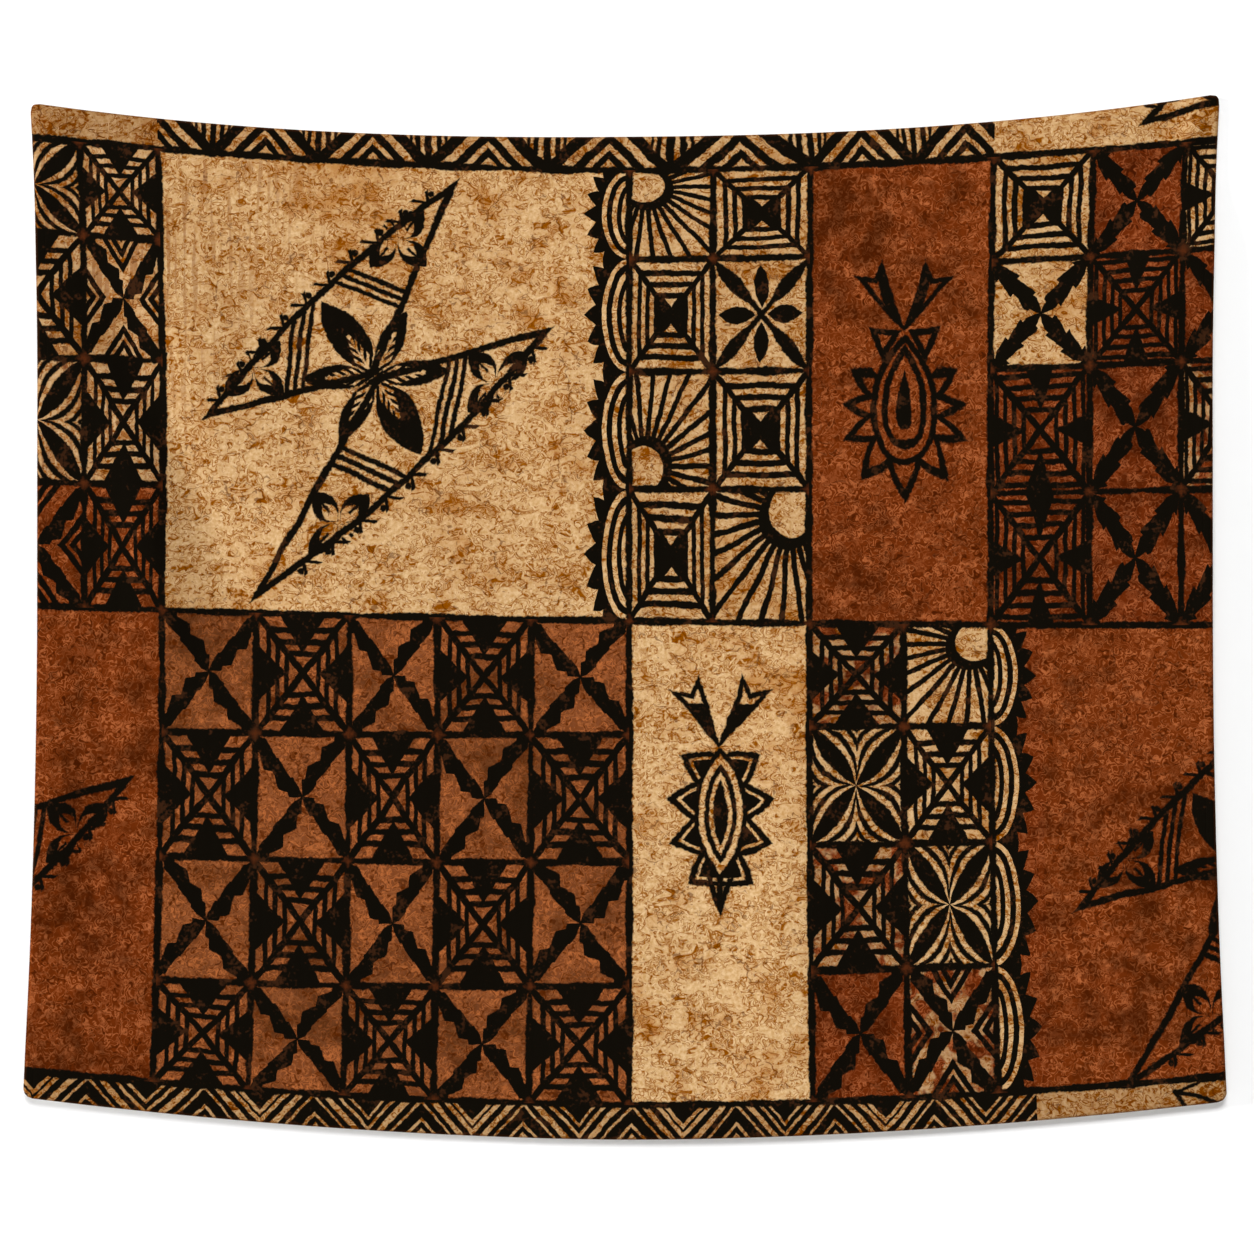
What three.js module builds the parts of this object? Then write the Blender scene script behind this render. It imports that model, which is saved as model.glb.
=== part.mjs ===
// Wall tapestry: one hemmed sheet of printed cloth held by its two top corners.
// The top edge sags between the corners, the sides draw in at mid height, the lower edge
// bellies down, and soft folds pull away from the corners.
// Millimetres, +Z up. The print faces -Y, the wall lies along Y = 0, and the origin is the
// middle of the top edge.
import * as THREE from 'three';

// Cut size of the cloth, with its turned hem
const cutWidth = 1524;
const cutDrop = 1270;
const clothThick = 1.5;
const hemThick = 2.4;
const hemWidth = 12;
const hemStep = 2;
const cornerRadius = 12;

// Outline as it hangs
const waistHalfWidth = 743;
const topFlare = 11;
const topFlareReach = 0.3;
const bottomFlare = 19;
const bottomFlareReach = 0.5;
const topSag = 49;
const topSagPower = 2.35;
const topTilt = 5.7;
const bottomBelly = 51;
const bottomTilt = -2.5;

// How far the cloth stands off the wall: flat at the held corners, fullest below mid height
const bellyDepth = 14;
const bellyStart = 0.7;
const bellyTurn = 0.8;
const heldPad = 60;
const heldReach = 210;

// Soft folds. Each runs from (fromX, fromZ) to (toX, toZ); rise is towards the viewer.
const folds = [
  { name: 'left corner pull', fromX: -735, fromZ: 20, toX: -480, toZ: -650, halfWidth: 38, rise: -9 },
  { name: 'left corner ridge', fromX: -680, fromZ: 10, toX: -390, toZ: -560, halfWidth: 62, rise: 6 },
  { name: 'right corner pull', fromX: 735, fromZ: 30, toX: 600, toZ: -170, halfWidth: 36, rise: -7 },
  { name: 'right corner ridge', fromX: 735, fromZ: -60, toX: 560, toZ: -430, halfWidth: 70, rise: 5 },
  { name: 'left side trough', fromX: -668, fromZ: -610, toX: -674, toZ: -980, halfWidth: 36, rise: -5 },
  { name: 'left side ridge', fromX: -708, fromZ: -640, toX: -722, toZ: -1190, halfWidth: 44, rise: 4 },
  { name: 'lower left pull', fromX: -745, fromZ: -1190, toX: -540, toZ: -900, halfWidth: 52, rise: 5 },
  { name: 'lower right pull', fromX: 745, fromZ: -1190, toX: 550, toZ: -880, halfWidth: 56, rise: 5 },
  { name: 'middle ridge', fromX: -64, fromZ: -120, toX: -60, toZ: -590, halfWidth: 52, rise: 3 },
  { name: 'lower middle ridge', fromX: 215, fromZ: -660, toX: 200, toZ: -1250, halfWidth: 64, rise: 5 },
  { name: 'lower left trough', fromX: -170, fromZ: -760, toX: -140, toZ: -1270, halfWidth: 74, rise: -5 },
];

// Rows and columns of the sheet: narrow ones along the hem, even ones between
const edgeLines = [0, 5, hemWidth, hemWidth + hemStep];
const innerColumns = 42;
const innerRows = 35;

const { clamp, lerp, smoothstep } = THREE.MathUtils;

// Distances of the dividing lines from one edge of the cut cloth
function dividingLines(length, innerCount) {
  const inset = edgeLines.at(-1);
  const lines = edgeLines.slice(0, -1);
  for (let i = 0; i <= innerCount; i += 1) {
    lines.push(lerp(inset, length - inset, i / innerCount));
  }
  for (const line of edgeLines.slice(0, -1).reverse()) {
    lines.push(length - line);
  }
  return lines;
}

// Draws the square corner of the cut cloth in to a quarter circle
function roundCorner(across, down) {
  const endX = across < cutWidth / 2 ? cornerRadius : cutWidth - cornerRadius;
  const endZ = down < cutDrop / 2 ? cornerRadius : cutDrop - cornerRadius;
  const dx = across - endX;
  const dz = down - endZ;
  const outX = dx * Math.sign(endX - cutWidth / 2);
  const outZ = dz * Math.sign(endZ - cutDrop / 2);
  if (outX <= 0 || outZ <= 0) {
    return [across, down];
  }
  const shrink = Math.max(outX, outZ) / Math.hypot(outX, outZ);
  return [endX + dx * shrink, endZ + dz * shrink];
}

function halfWidthAt(v) {
  const nearTop = clamp(1 - v / topFlareReach, 0, 1);
  const nearBottom = clamp(1 - (1 - v) / bottomFlareReach, 0, 1);
  return waistHalfWidth + topFlare * nearTop ** 2 + bottomFlare * nearBottom ** 2;
}

function topEdge(u) {
  return topSag * Math.abs(u) ** topSagPower + topTilt * u;
}

function bottomEdge(u) {
  return -cutDrop + bottomBelly * (1 - Math.cos((u * Math.PI) / 2)) + bottomTilt * u;
}

// Rise of one fold at a point: a soft bell across its line that fades at both ends
function foldRise(fold, x, z) {
  const runX = fold.toX - fold.fromX;
  const runZ = fold.toZ - fold.fromZ;
  const length = Math.hypot(runX, runZ);
  const along = ((x - fold.fromX) * runX + (z - fold.fromZ) * runZ) / length ** 2;
  const aside = ((x - fold.fromX) * runZ - (z - fold.fromZ) * runX) / length;
  const fade = Math.sin(Math.PI * clamp(along, 0, 1));
  return fold.rise * Math.sqrt(fade) * Math.exp(-((aside / fold.halfWidth) ** 2));
}

function standOff(x, z, v) {
  let lift = bellyDepth * Math.sin(Math.PI * bellyTurn * v ** bellyStart);
  for (const fold of folds) {
    lift += foldRise(fold, x, z);
  }
  const side = Math.sign(x) || 1;
  const fromCorner = Math.hypot(x - side * halfWidthAt(0), z - topEdge(side));
  return Math.max(lift, 0) * smoothstep(fromCorner, heldPad, heldReach);
}

// The front runs smooth to the edge. The hem is turned to the back, where the sheet is thicker.
function clothPoint(across, down, onBack) {
  const [a, b] = roundCorner(across, down);
  const u = (2 * a) / cutWidth - 1;
  const v = b / cutDrop;
  const x = u * halfWidthAt(v);
  const z = lerp(topEdge(u), bottomEdge(u), v);
  const fromEdge = Math.min(across, cutWidth - across, down, cutDrop - down);
  const thick = fromEdge <= hemWidth ? hemThick : clothThick;
  const front = -standOff(x, z, v) - hemThick;
  return [x, onBack ? front + thick : front, z];
}

// A thin box with one step through its thickness is bent into the hanging sheet
function clothSheet() {
  const acrossLines = dividingLines(cutWidth, innerColumns);
  const downLines = dividingLines(cutDrop, innerRows);
  const columns = acrossLines.length - 1;
  const rows = downLines.length - 1;
  const sheet = new THREE.BoxGeometry(columns, 1, rows, columns, 1, rows);
  const place = sheet.attributes.position;
  for (let i = 0; i < place.count; i += 1) {
    const across = acrossLines[Math.round(place.getX(i) + columns / 2)];
    const down = downLines[Math.round(rows / 2 - place.getZ(i))];
    place.setXYZ(i, ...clothPoint(across, down, place.getY(i) > 0));
  }
  sheet.computeVertexNormals();
  return sheet;
}

const printedCloth = new THREE.MeshStandardMaterial({
  name: 'printed_cloth',
  color: 0x7a4a26,
  roughness: 0.92,
  metalness: 0,
});

const tapestry = new THREE.Group();
const cloth = new THREE.Mesh(clothSheet(), printedCloth);
cloth.name = 'tapestry_cloth';
tapestry.add(cloth);

export default tapestry;
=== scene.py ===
import math

import bmesh
import bpy
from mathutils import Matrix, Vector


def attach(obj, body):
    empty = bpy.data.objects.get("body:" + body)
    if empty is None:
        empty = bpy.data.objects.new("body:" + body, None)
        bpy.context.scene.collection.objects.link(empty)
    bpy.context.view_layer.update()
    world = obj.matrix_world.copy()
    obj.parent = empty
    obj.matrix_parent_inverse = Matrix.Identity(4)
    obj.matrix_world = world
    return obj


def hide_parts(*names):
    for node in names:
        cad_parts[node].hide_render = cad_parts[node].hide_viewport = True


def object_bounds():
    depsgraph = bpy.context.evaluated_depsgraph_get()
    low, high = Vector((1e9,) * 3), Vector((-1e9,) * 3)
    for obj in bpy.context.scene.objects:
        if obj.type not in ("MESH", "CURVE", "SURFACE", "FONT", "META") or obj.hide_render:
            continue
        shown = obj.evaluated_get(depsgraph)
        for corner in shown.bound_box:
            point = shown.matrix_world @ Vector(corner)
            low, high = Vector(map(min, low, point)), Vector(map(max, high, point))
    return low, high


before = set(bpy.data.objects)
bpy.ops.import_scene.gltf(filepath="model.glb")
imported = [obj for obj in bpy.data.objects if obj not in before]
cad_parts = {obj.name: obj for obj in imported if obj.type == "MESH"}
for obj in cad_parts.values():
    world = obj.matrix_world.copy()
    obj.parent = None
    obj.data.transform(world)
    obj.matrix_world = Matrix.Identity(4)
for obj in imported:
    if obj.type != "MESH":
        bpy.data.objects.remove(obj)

cadBounds = [list(corner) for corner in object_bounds()]

# The cloth as it hangs, in metres: print towards -Y, wall along Y = 0, origin at the middle of the
# top edge
cloth = {
    "cutWidth": 1.524,
    "cutDrop": 1.270,
    "thick": 0.0015,
    "hemThick": 0.0024,
    "hemWidth": 0.012,
    "hemCrease": 0.005,
    "hemStep": 0.002,
    "cornerRadius": 0.012,
    "waistHalf": 0.743,
    "topFlare": 0.011,
    "topFlareReach": 0.3,
    "bottomFlare": 0.019,
    "bottomFlareReach": 0.5,
    "bellyDepth": 0.014,
    "bellyStart": 0.7,
    "bellyTurn": 0.8,
    "heldPad": 0.060,
    "heldReach": 0.210,
    "columnStep": 0.0135,  # of the half width, about 10 mm
    "rowStep": 0.0178,  # of a row between two main lines, about 10 mm
    "borderStep": 0.2,
}

# The five main lines across the cloth: drop at the middle, rise towards the sides, tilt to the right
mainLines = [
    {"name": "top edge", "drop": 0.0, "ends": 0.049, "tilt": 0.0057, "power": 2.35},
    {"name": "top border", "drop": 0.043, "ends": 0.0406, "tilt": -0.0013, "power": 1.75},
    {"name": "middle", "drop": 0.6137, "ends": 0.007, "tilt": -0.012, "power": 2.0},
    {"name": "lower border", "drop": 1.226, "ends": 0.0406, "tilt": -0.0038, "power": 1.8},
    {"name": "bottom edge", "drop": 1.270, "ends": 0.051, "tilt": -0.0025, "power": 1.8},
]

# Where the tile rows divide the upper and lower halves, which drifts across the hand-printed cloth
tileRows = [
    {"u": -1.0, "upper": (0.20, 0.47, 0.736), "lower": (0.257, 0.521, 0.783)},
    {"u": -0.787, "upper": (0.20, 0.46, 0.73), "lower": (0.257, 0.521, 0.783)},
    {"u": 0.007, "upper": (0.198, 0.447, 0.707), "lower": (0.234, 0.497, 0.753)},
    {"u": 0.313, "upper": (0.198, 0.447, 0.707), "lower": (0.2155, 0.463, 0.726)},
    {"u": 0.622, "upper": (0.225, 0.455, 0.72), "lower": (0.2155, 0.463, 0.726)},
    {"u": 1.0, "upper": (0.225, 0.455, 0.72), "lower": (0.2155, 0.463, 0.726)},
]

# Soft folds from one point to another; rise is towards the viewer
folds = {
    "left corner pull": {"start": (-0.735, 0.02), "end": (-0.48, -0.65), "half": 0.038, "rise": -0.009},
    "left corner ridge": {"start": (-0.68, 0.01), "end": (-0.39, -0.56), "half": 0.062, "rise": 0.006},
    "right corner pull": {"start": (0.735, 0.03), "end": (0.6, -0.17), "half": 0.036, "rise": -0.007},
    "right corner ridge": {"start": (0.735, -0.06), "end": (0.56, -0.43), "half": 0.07, "rise": 0.005},
    "left side trough": {"start": (-0.668, -0.61), "end": (-0.674, -0.98), "half": 0.036, "rise": -0.005},
    "left side ridge": {"start": (-0.708, -0.64), "end": (-0.722, -1.19), "half": 0.044, "rise": 0.004},
    "lower left pull": {"start": (-0.745, -1.19), "end": (-0.54, -0.9), "half": 0.052, "rise": 0.005},
    "lower right pull": {"start": (0.745, -1.19), "end": (0.55, -0.88), "half": 0.056, "rise": 0.005},
    "middle ridge": {"start": (-0.064, -0.12), "end": (-0.06, -0.59), "half": 0.052, "rise": 0.003},
    "lower middle ridge": {"start": (0.215, -0.66), "end": (0.2, -1.25), "half": 0.064, "rise": 0.005},
    "lower left trough": {"start": (-0.17, -0.76), "end": (-0.14, -1.27), "half": 0.074, "rise": -0.005},
}

# Slighter creases that the cloth has beside its folds
creases = {
    "left panel ridge": {"start": (-0.622, -0.33), "end": (-0.575, -0.69), "half": 0.032, "rise": 0.008},
    "left panel hollow": {"start": (-0.51, -0.3), "end": (-0.44, -0.69), "half": 0.07, "rise": -0.007},
    "left corner pucker": {"start": (-0.738, 0.03), "end": (-0.69, -0.05), "half": 0.015, "rise": 0.004},
    "right corner pucker": {"start": (0.738, 0.04), "end": (0.684, -0.06), "half": 0.015, "rise": 0.005},
}


def clamp(value, low, high):
    return max(low, min(high, value))


def halfWidthAt(v):
    nearTop = clamp(1 - v / cloth["topFlareReach"], 0, 1)
    nearBottom = clamp(1 - (1 - v) / cloth["bottomFlareReach"], 0, 1)
    return cloth["waistHalf"] + cloth["topFlare"] * nearTop**2 + cloth["bottomFlare"] * nearBottom**2


def lineHeight(line, u):
    return -line["drop"] + line["ends"] * abs(u) ** line["power"] + line["tilt"] * u


def rowShares(u, half):
    after = next(i for i in range(1, len(tileRows)) if u <= tileRows[i]["u"] or i == len(tileRows) - 1)
    left, right = tileRows[after - 1], tileRows[after]
    t = (u - left["u"]) / (right["u"] - left["u"])
    inner = [a + (b - a) * t for a, b in zip(left[half], right[half])]
    return [0.0] + inner + [1.0]


# Height of row w: whole numbers are the main lines, quarters of the two middle rows the tile rows
def rowHeight(u, w):
    row = min(int(w), 3)
    share = w - row
    if row in (1, 2):
        shares = rowShares(u, "upper" if row == 1 else "lower")
        quarter = min(int(share * 4), 3)
        share = shares[quarter] + (shares[quarter + 1] - shares[quarter]) * (share * 4 - quarter)
    over, under = lineHeight(mainLines[row], u), lineHeight(mainLines[row + 1], u)
    return over + (under - over) * share


def foldRise(fold, x, z):
    runX = fold["end"][0] - fold["start"][0]
    runZ = fold["end"][1] - fold["start"][1]
    length = math.hypot(runX, runZ)
    outX, outZ = x - fold["start"][0], z - fold["start"][1]
    along = clamp((outX * runX + outZ * runZ) / length**2, 0, 1)
    aside = (outX * runZ - outZ * runX) / length
    fade = math.sqrt(math.sin(math.pi * along))
    return fold["rise"] * fade * math.exp(-((aside / fold["half"]) ** 2))


def standOff(x, z, v):
    lift = cloth["bellyDepth"] * math.sin(math.pi * cloth["bellyTurn"] * v ** cloth["bellyStart"])
    lift += sum(foldRise(fold, x, z) for fold in folds.values())
    side = 1 if x > 0 else -1
    fromCorner = math.hypot(x - side * halfWidthAt(0), z - lineHeight(mainLines[0], side))
    held = clamp((fromCorner - cloth["heldPad"]) / (cloth["heldReach"] - cloth["heldPad"]), 0, 1)
    lift = max(lift, 0) * held * held * (3 - 2 * held)
    return max(lift + sum(foldRise(crease, x, z) for crease in creases.values()), 0)


# The print is charted in cells. Across, u runs from -1 to 1; down, w is the row as above.
motifs = {name: code for code, name in enumerate(
    ["plain", "notched", "stepped", "ladder", "squares", "fan", "petals", "leaves", "chevron",
     "star", "drop", "lens", "scallop", "raysUp", "zigzag", "bladeTip", "lobed"])}
tileLetters = {"n": "notched", "s": "stepped", "d": "ladder", "q": "squares", "f": "fan", "p": "petals",
               "l": "leaves", "g": "chevron", "b": "lobed"}
groundLetters = {"c": 0.0, "k": 0.3, "m": 0.5, "r": 1.0}  # cream, dull cream, patchy, rust

# Tile blocks. Each column has its two edges across the cloth and the part of the tile that it shows.
lowerColumns = [-0.787, -0.628, -0.469, -0.319, -0.160, 0.007]
tileBlocks = [
    {"name": "left", "row": 1, "columns": [(-1.0, -0.92, 0.0, 1.0), (-0.92, -0.787, -1.0, 1.0)],
     "motif": ["ps", "sg", "ps", "gs"], "ground": ["kk", "kk", "kk", "rr"],
     "flip": ["00", "00", "01", "00"], "tone": 0.95},
    {"name": "middle", "row": 1, "columns": [(0.007, 0.149, -1.0, 1.0), (0.149, 0.313, -1.0, 1.0)],
     "motif": ["fq", "ql", "fq", "qf"], "ground": ["cc", "cc", "cc", "cc"],
     "flip": ["20", "00", "00", "03"], "tone": 0.84},
    {"name": "right", "row": 1,
     "columns": [(0.622, 0.790, -1.0, 1.0), (0.790, 0.946, -1.0, 1.0), (0.946, 1.0, -1.0, -0.28)],
     "motif": ["qbd", "bdb", "dbd", "dbb"], "ground": ["crc", "crr", "rrm", "rrr"],
     "flip": ["000", "101", "010", "001"], "tone": 0.85},
    {"name": "lower", "row": 2,
     "columns": [(left, right, -1.0, 1.0) for left, right in zip(lowerColumns, lowerColumns[1:])],
     "motif": ["nsnsn", "snsns", "nsnsn", "snsns"], "ground": ["rrrrr"] * 4,
     "flip": ["00101", "01010", "00100", "01010"], "tone": 1.07},
    {"name": "lower right", "row": 2, "columns": [(0.313, 0.474, -1.0, 1.0), (0.474, 0.622, -1.0, 1.0)],
     "motif": ["sf", "ps", "sp", "ng"], "ground": ["mc", "cc", "mc", "rm"],
     "flip": ["03", "00", "00", "10"], "tone": 0.87},
]

# Panels, with the middle of their motif in metres and the sides that a printed line runs along
panels = [
    {"u": (-0.787, -0.0763), "w": (1, 2), "motif": "star", "middle": (-0.3157, -0.303),
     "ground": "c", "inked": "ltb", "tone": 0.93},
    {"u": (0.313, 0.622), "w": (1, 2), "motif": "drop", "middle": (0.3533, -0.3474),
     "ground": "r", "inked": "lrtb", "tone": 0.95},
    {"u": (-1.0, -0.787), "w": (2, 3), "motif": "star", "middle": (-0.847, -0.872),
     "ground": "r", "inked": "rtb", "tone": 0.95},
    {"u": (0.007, 0.313), "w": (2, 3), "motif": "lens", "middle": (0.1208, -0.857),
     "ground": "c", "inked": "lrtb", "tone": 0.98},
    {"u": (0.710, 1.0), "w": (2, 3), "motif": "star", "middle": (0.786, -0.924),
     "ground": "r", "inked": "tb", "tone": 0.96},
    {"u": (-1.0, -0.787), "w": (0, 1), "motif": "plain", "middle": (0.0, 0.0),
     "ground": "c", "inked": "b", "tone": 0.61},
    {"u": (0.622, 1.0), "w": (0, 1), "motif": "star", "middle": (0.872, 0.071),
     "ground": "c", "inked": "b", "tone": 0.88},
    {"u": (0.685, 1.0), "w": (3, 4), "motif": "bladeTip", "middle": (0.6955, -1.208),
     "ground": "c", "inked": "t", "tone": 0.61},
]

# Scalloped edgings bulge out from an upright chord; a border has one bay from each stop to the next
scallops = [
    {"u": (-0.0763, 0.007), "w": (1, 2), "chord": 0.007, "side": -1,
     "ground": "c", "inked": "rtb", "tone": 0.95},
    {"u": (0.622, 0.710), "w": (2, 3), "chord": 0.622, "side": 1,
     "ground": "r", "inked": "ltb", "tone": 0.9},
]
scallopBulge = 0.0342
borders = [
    {"u": (-0.787, 0.622), "w": (0, 1), "motif": "raysUp", "inked": "b", "up": 1,
     "pitch": 0.148, "tone": 0.77,
     "stops": [-0.658, -0.523, -0.388, -0.250, -0.098, 0.058, 0.235, 0.365, 0.500]},
    {"u": (-1.0, 0.685), "w": (3, 4), "motif": "zigzag", "inked": "t", "up": -1,
     "pitch": 0.134, "tone": 0.68,
     "stops": [-0.820, -0.680, -0.533, -0.392, -0.259, -0.128, 0.008, 0.141, 0.266, 0.393, 0.520]},
]

# One printed cloth in six materials, so that no point works out motifs that lie elsewhere
printGroups = [
    {"name": "printed_polyester_borders", "waver": 0.04, "rough": 0.025,
     "motifs": ["plain", "raysUp", "zigzag", "bladeTip"]},
    {"name": "printed_polyester_crosses", "waver": 0.06, "rough": 0.035,
     "motifs": ["notched", "lobed", "chevron"]},
    {"name": "printed_polyester_squares", "waver": 0.06, "rough": 0.035,
     "motifs": ["stepped", "ladder", "squares"]},
    {"name": "printed_polyester_rounds", "waver": 0.06, "rough": 0.035,
     "motifs": ["fan", "petals", "leaves", "scallop"]},
    {"name": "printed_polyester_stars", "waver": 0.045, "rough": 0.02,
     "motifs": ["star"]},
    {"name": "printed_polyester_pods", "waver": 0.04, "rough": 0.025,
     "motifs": ["drop", "lens"]},
]


def tileCells():
    for block in tileBlocks:
        for row in range(4):
            w = (block["row"] + row / 4, block["row"] + (row + 1) / 4)
            for column, (left, right, showFrom, showTo) in enumerate(block["columns"]):
                flip = int(block["flip"][row][column])
                inked = "tb" + ("l" if left > -1 else "") + ("r" if right < 1 else "")
                yield {"u": (left, right), "w": w, "inked": inked, "show": (showFrom, showTo),
                       "flipP": -1 if flip & 1 else 1, "flipQ": -1 if flip & 2 else 1, "kind": "tile",
                       "motif": tileLetters[block["motif"][row][column]],
                       "ground": block["ground"][row][column], "tone": block["tone"]}


def printCells():
    cells = list(tileCells())
    cells += [dict(panel, kind="panel") for panel in panels]
    cells += [dict(border, kind="border", ground="c") for border in borders]
    for strip in scallops:
        for row in range(4):
            start = strip["w"][0]
            cells.append(dict(strip, kind="scallop", motif="scallop", block=strip["w"],
                              w=(start + row / 4, start + (row + 1) / 4)))
    return cells


# The motif's own place (p, q) of a point of the cloth
def motifPlace(cell, u, w, x, z, half):
    if cell["kind"] == "panel":
        return (x - cell["middle"][0]) * 10, (z - cell["middle"][1]) * 10
    if cell["kind"] == "border":
        line = rowHeight(u, 1 if cell["up"] > 0 else 3)
        stops = cell["stops"]
        after = next(i for i in range(1, len(stops)) if x <= stops[i] or i == len(stops) - 1)
        p = after - 1 + (x - stops[after - 1]) / (stops[after] - stops[after - 1])
        return p, (z - line) * cell["up"] * 2 / cell["pitch"]
    down = (w - cell["w"][0]) / (cell["w"][1] - cell["w"][0])
    if cell["kind"] == "scallop":
        return (u - cell["chord"]) * half * cell["side"] / scallopBulge, 1 - 2 * down
    across = (u - cell["u"][0]) / (cell["u"][1] - cell["u"][0])
    p = cell["show"][0] + (cell["show"][1] - cell["show"][0]) * across
    return p * cell["flipP"], (1 - 2 * down) * cell["flipQ"]


# How far a point lies from the printed lines at the sides and ends of its cell, in units of 100 mm
def linePlace(cell, u, w, z, half):
    top, bottom = cell.get("block", cell["w"])
    gaps = {"l": (u - cell["u"][0]) * half, "r": (cell["u"][1] - u) * half,
            "t": rowHeight(u, top) - z, "b": z - rowHeight(u, bottom)}
    across = min([gaps[side] for side in "lr" if side in cell["inked"]], default=1.0)
    down = min([gaps[side] for side in "tb" if side in cell["inked"]], default=1.0)
    return across * 10, down * 10


def cutsBetween(lines, step):
    cuts = []
    for start, end in zip(lines, lines[1:]):
        count = max(1, math.ceil((end - start) / step - 1e-6))
        cuts += [start + (end - start) * i / count for i in range(count)]
    return cuts + [lines[-1]]


# Lines of the mesh: every cell's edges, the hem and even cuts between
def meshCuts(cells):
    hemLines = (cloth["hemCrease"], cloth["hemWidth"], cloth["hemWidth"] + cloth["hemStep"])
    hemAcross = [gap / cloth["waistHalf"] for gap in hemLines]
    hemDown = [gap / mainLines[1]["drop"] for gap in hemLines]
    across = {round(edge, 6) for cell in cells for edge in cell["u"]}
    across |= {round(side * (1 - gap), 6) for gap in hemAcross for side in (-1, 1)}
    border = sorted(set([0, 1] + hemDown))
    top = cutsBetween(border, cloth["borderStep"])
    middle = cutsBetween([1 + i / 4 for i in range(9)], cloth["rowStep"])
    bottom = [4 - w for w in reversed(top)]
    return cutsBetween(sorted(across), cloth["columnStep"]), top[:-1] + middle[:-1] + bottom


# A corner of the sheet is drawn in to a quarter circle
def roundCorner(x, z, u, cornerZ, half):
    radius = cloth["cornerRadius"]
    sideX = 1 if u > 0 else -1
    for sideZ in (1, -1):
        centreX, centreZ = sideX * (half - radius), cornerZ[sideZ] - sideZ * radius
        outX, outZ = (x - centreX) * sideX, (z - centreZ) * sideZ
        if outX > 0 and outZ > 0:
            shrink = max(outX, outZ) / math.hypot(outX, outZ)
            return centreX + sideX * outX * shrink, centreZ + sideZ * outZ * shrink
    return x, z


def buildCloth():
    cells = printCells()
    columns, rows = meshCuts(cells)
    bm = bmesh.new()
    bmesh.ops.create_grid(bm, x_segments=len(columns) - 1, y_segments=len(rows) - 1, size=0.5)
    place, lines, bake = (
        bm.loops.layers.uv.new(name) for name in ("printPlace", "printLines", "OFBake"))
    motif, ground, tone, back = (
        bm.faces.layers.float.new(name) for name in ("motif", "ground", "tone", "back"))
    fromEdge = bm.verts.layers.float.new("fromEdge")
    chart = {}
    for vert in bm.verts:
        u = columns[round((vert.co.x + 0.5) * (len(columns) - 1))]
        w = rows[round((0.5 - vert.co.y) * (len(rows) - 1))]
        z = rowHeight(u, w)
        top, bottom = lineHeight(mainLines[0], u), lineHeight(mainLines[-1], u)
        v = clamp((top - z) / (top - bottom), 0, 1)
        half = halfWidthAt(v)
        x = u * half
        chart[vert.index] = (u, w, x, z, half)
        vert[fromEdge] = min((1 - abs(u)) * half, top - z, z - bottom)
        x, z = roundCorner(x, z, u, {1: top, -1: bottom}, half)
        vert.co = (x, -standOff(x, z, v) - cloth["hemThick"], z)
    for face in bm.faces:
        face.smooth = True
        spots = [chart[loop.vert.index] for loop in face.loops]
        u = sum(spot[0] for spot in spots) / len(spots)
        w = sum(spot[1] for spot in spots) / len(spots)
        cell = next(c for c in cells if c["u"][0] < u < c["u"][1] and c["w"][0] < w < c["w"][1])
        face[motif] = motifs[cell["motif"]]
        face.material_index = next(
            i for i, group in enumerate(printGroups) if cell["motif"] in group["motifs"])
        face[ground] = groundLetters[cell["ground"]]
        face[tone] = cell["tone"]
        for loop, (u, w, x, z, half) in zip(face.loops, spots):
            loop[place].uv = motifPlace(cell, u, w, x, z, half)
            loop[lines].uv = linePlace(cell, u, w, z, half)
    addBack(bm, back, fromEdge)
    layBakeMap(bm, bake, back)
    mesh = bpy.data.meshes.new("tapestry_sheet")
    bm.to_mesh(mesh)
    bm.free()
    return mesh


# The back is a copy of the front behind it, deeper under the turned hem, and a rim closes the two
def addBack(bm, back, fromEdge):
    copied = bmesh.ops.duplicate(bm, geom=list(bm.faces) + list(bm.edges) + list(bm.verts))["geom"]
    backFaces = [item for item in copied if isinstance(item, bmesh.types.BMFace)]
    for vert in (item for item in copied if isinstance(item, bmesh.types.BMVert)):
        onHem = vert[fromEdge] <= cloth["hemWidth"] + cloth["hemStep"] / 4
        vert.co.y += cloth["hemThick"] if onHem else cloth["thick"]
    bmesh.ops.reverse_faces(bm, faces=backFaces)
    for face in backFaces:
        face[back] = 1.0
    openEdges = [edge for edge in bm.edges if edge.is_boundary]
    for face in bmesh.ops.bridge_loops(bm, edges=openEdges)["faces"]:
        face[back] = 0.5
        face.smooth = True
    bmesh.ops.recalc_face_normals(bm, faces=bm.faces)


# The map for finished colour: most of its height is for the front, a low strip for the back and a
# thin one for the rim
bakeMap = {"rooms": {0.0: (0.175, 0.995), 1.0: (0.005, 0.150), 0.5: (0.158, 0.167)},
           "margin": 0.005, "rimDepth": 0.03}


def layBakeMap(bm, bake, back):
    low, high = cadBounds
    margin = bakeMap["margin"]
    for face in bm.faces:
        bottom, top = bakeMap["rooms"][face[back]]
        for loop in face.loops:
            co = loop.vert.co
            across = (co.x - low[0]) / (high[0] - low[0])
            up = (co.z - low[2]) / (high[2] - low[2])
            if face[back] == 0.5:
                up = -co.y / bakeMap["rimDepth"]
            up = clamp(up, 0, 1)
            loop[bake].uv = (margin + (1 - 2 * margin) * across, bottom + (top - bottom) * up)


def linear(code):
    shades = [int(code[i:i + 2], 16) / 255 for i in (1, 3, 5)]
    return [s / 12.92 if s <= 0.04045 else ((s + 0.055) / 1.055) ** 2.4 for s in shades] + [1.0]


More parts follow.
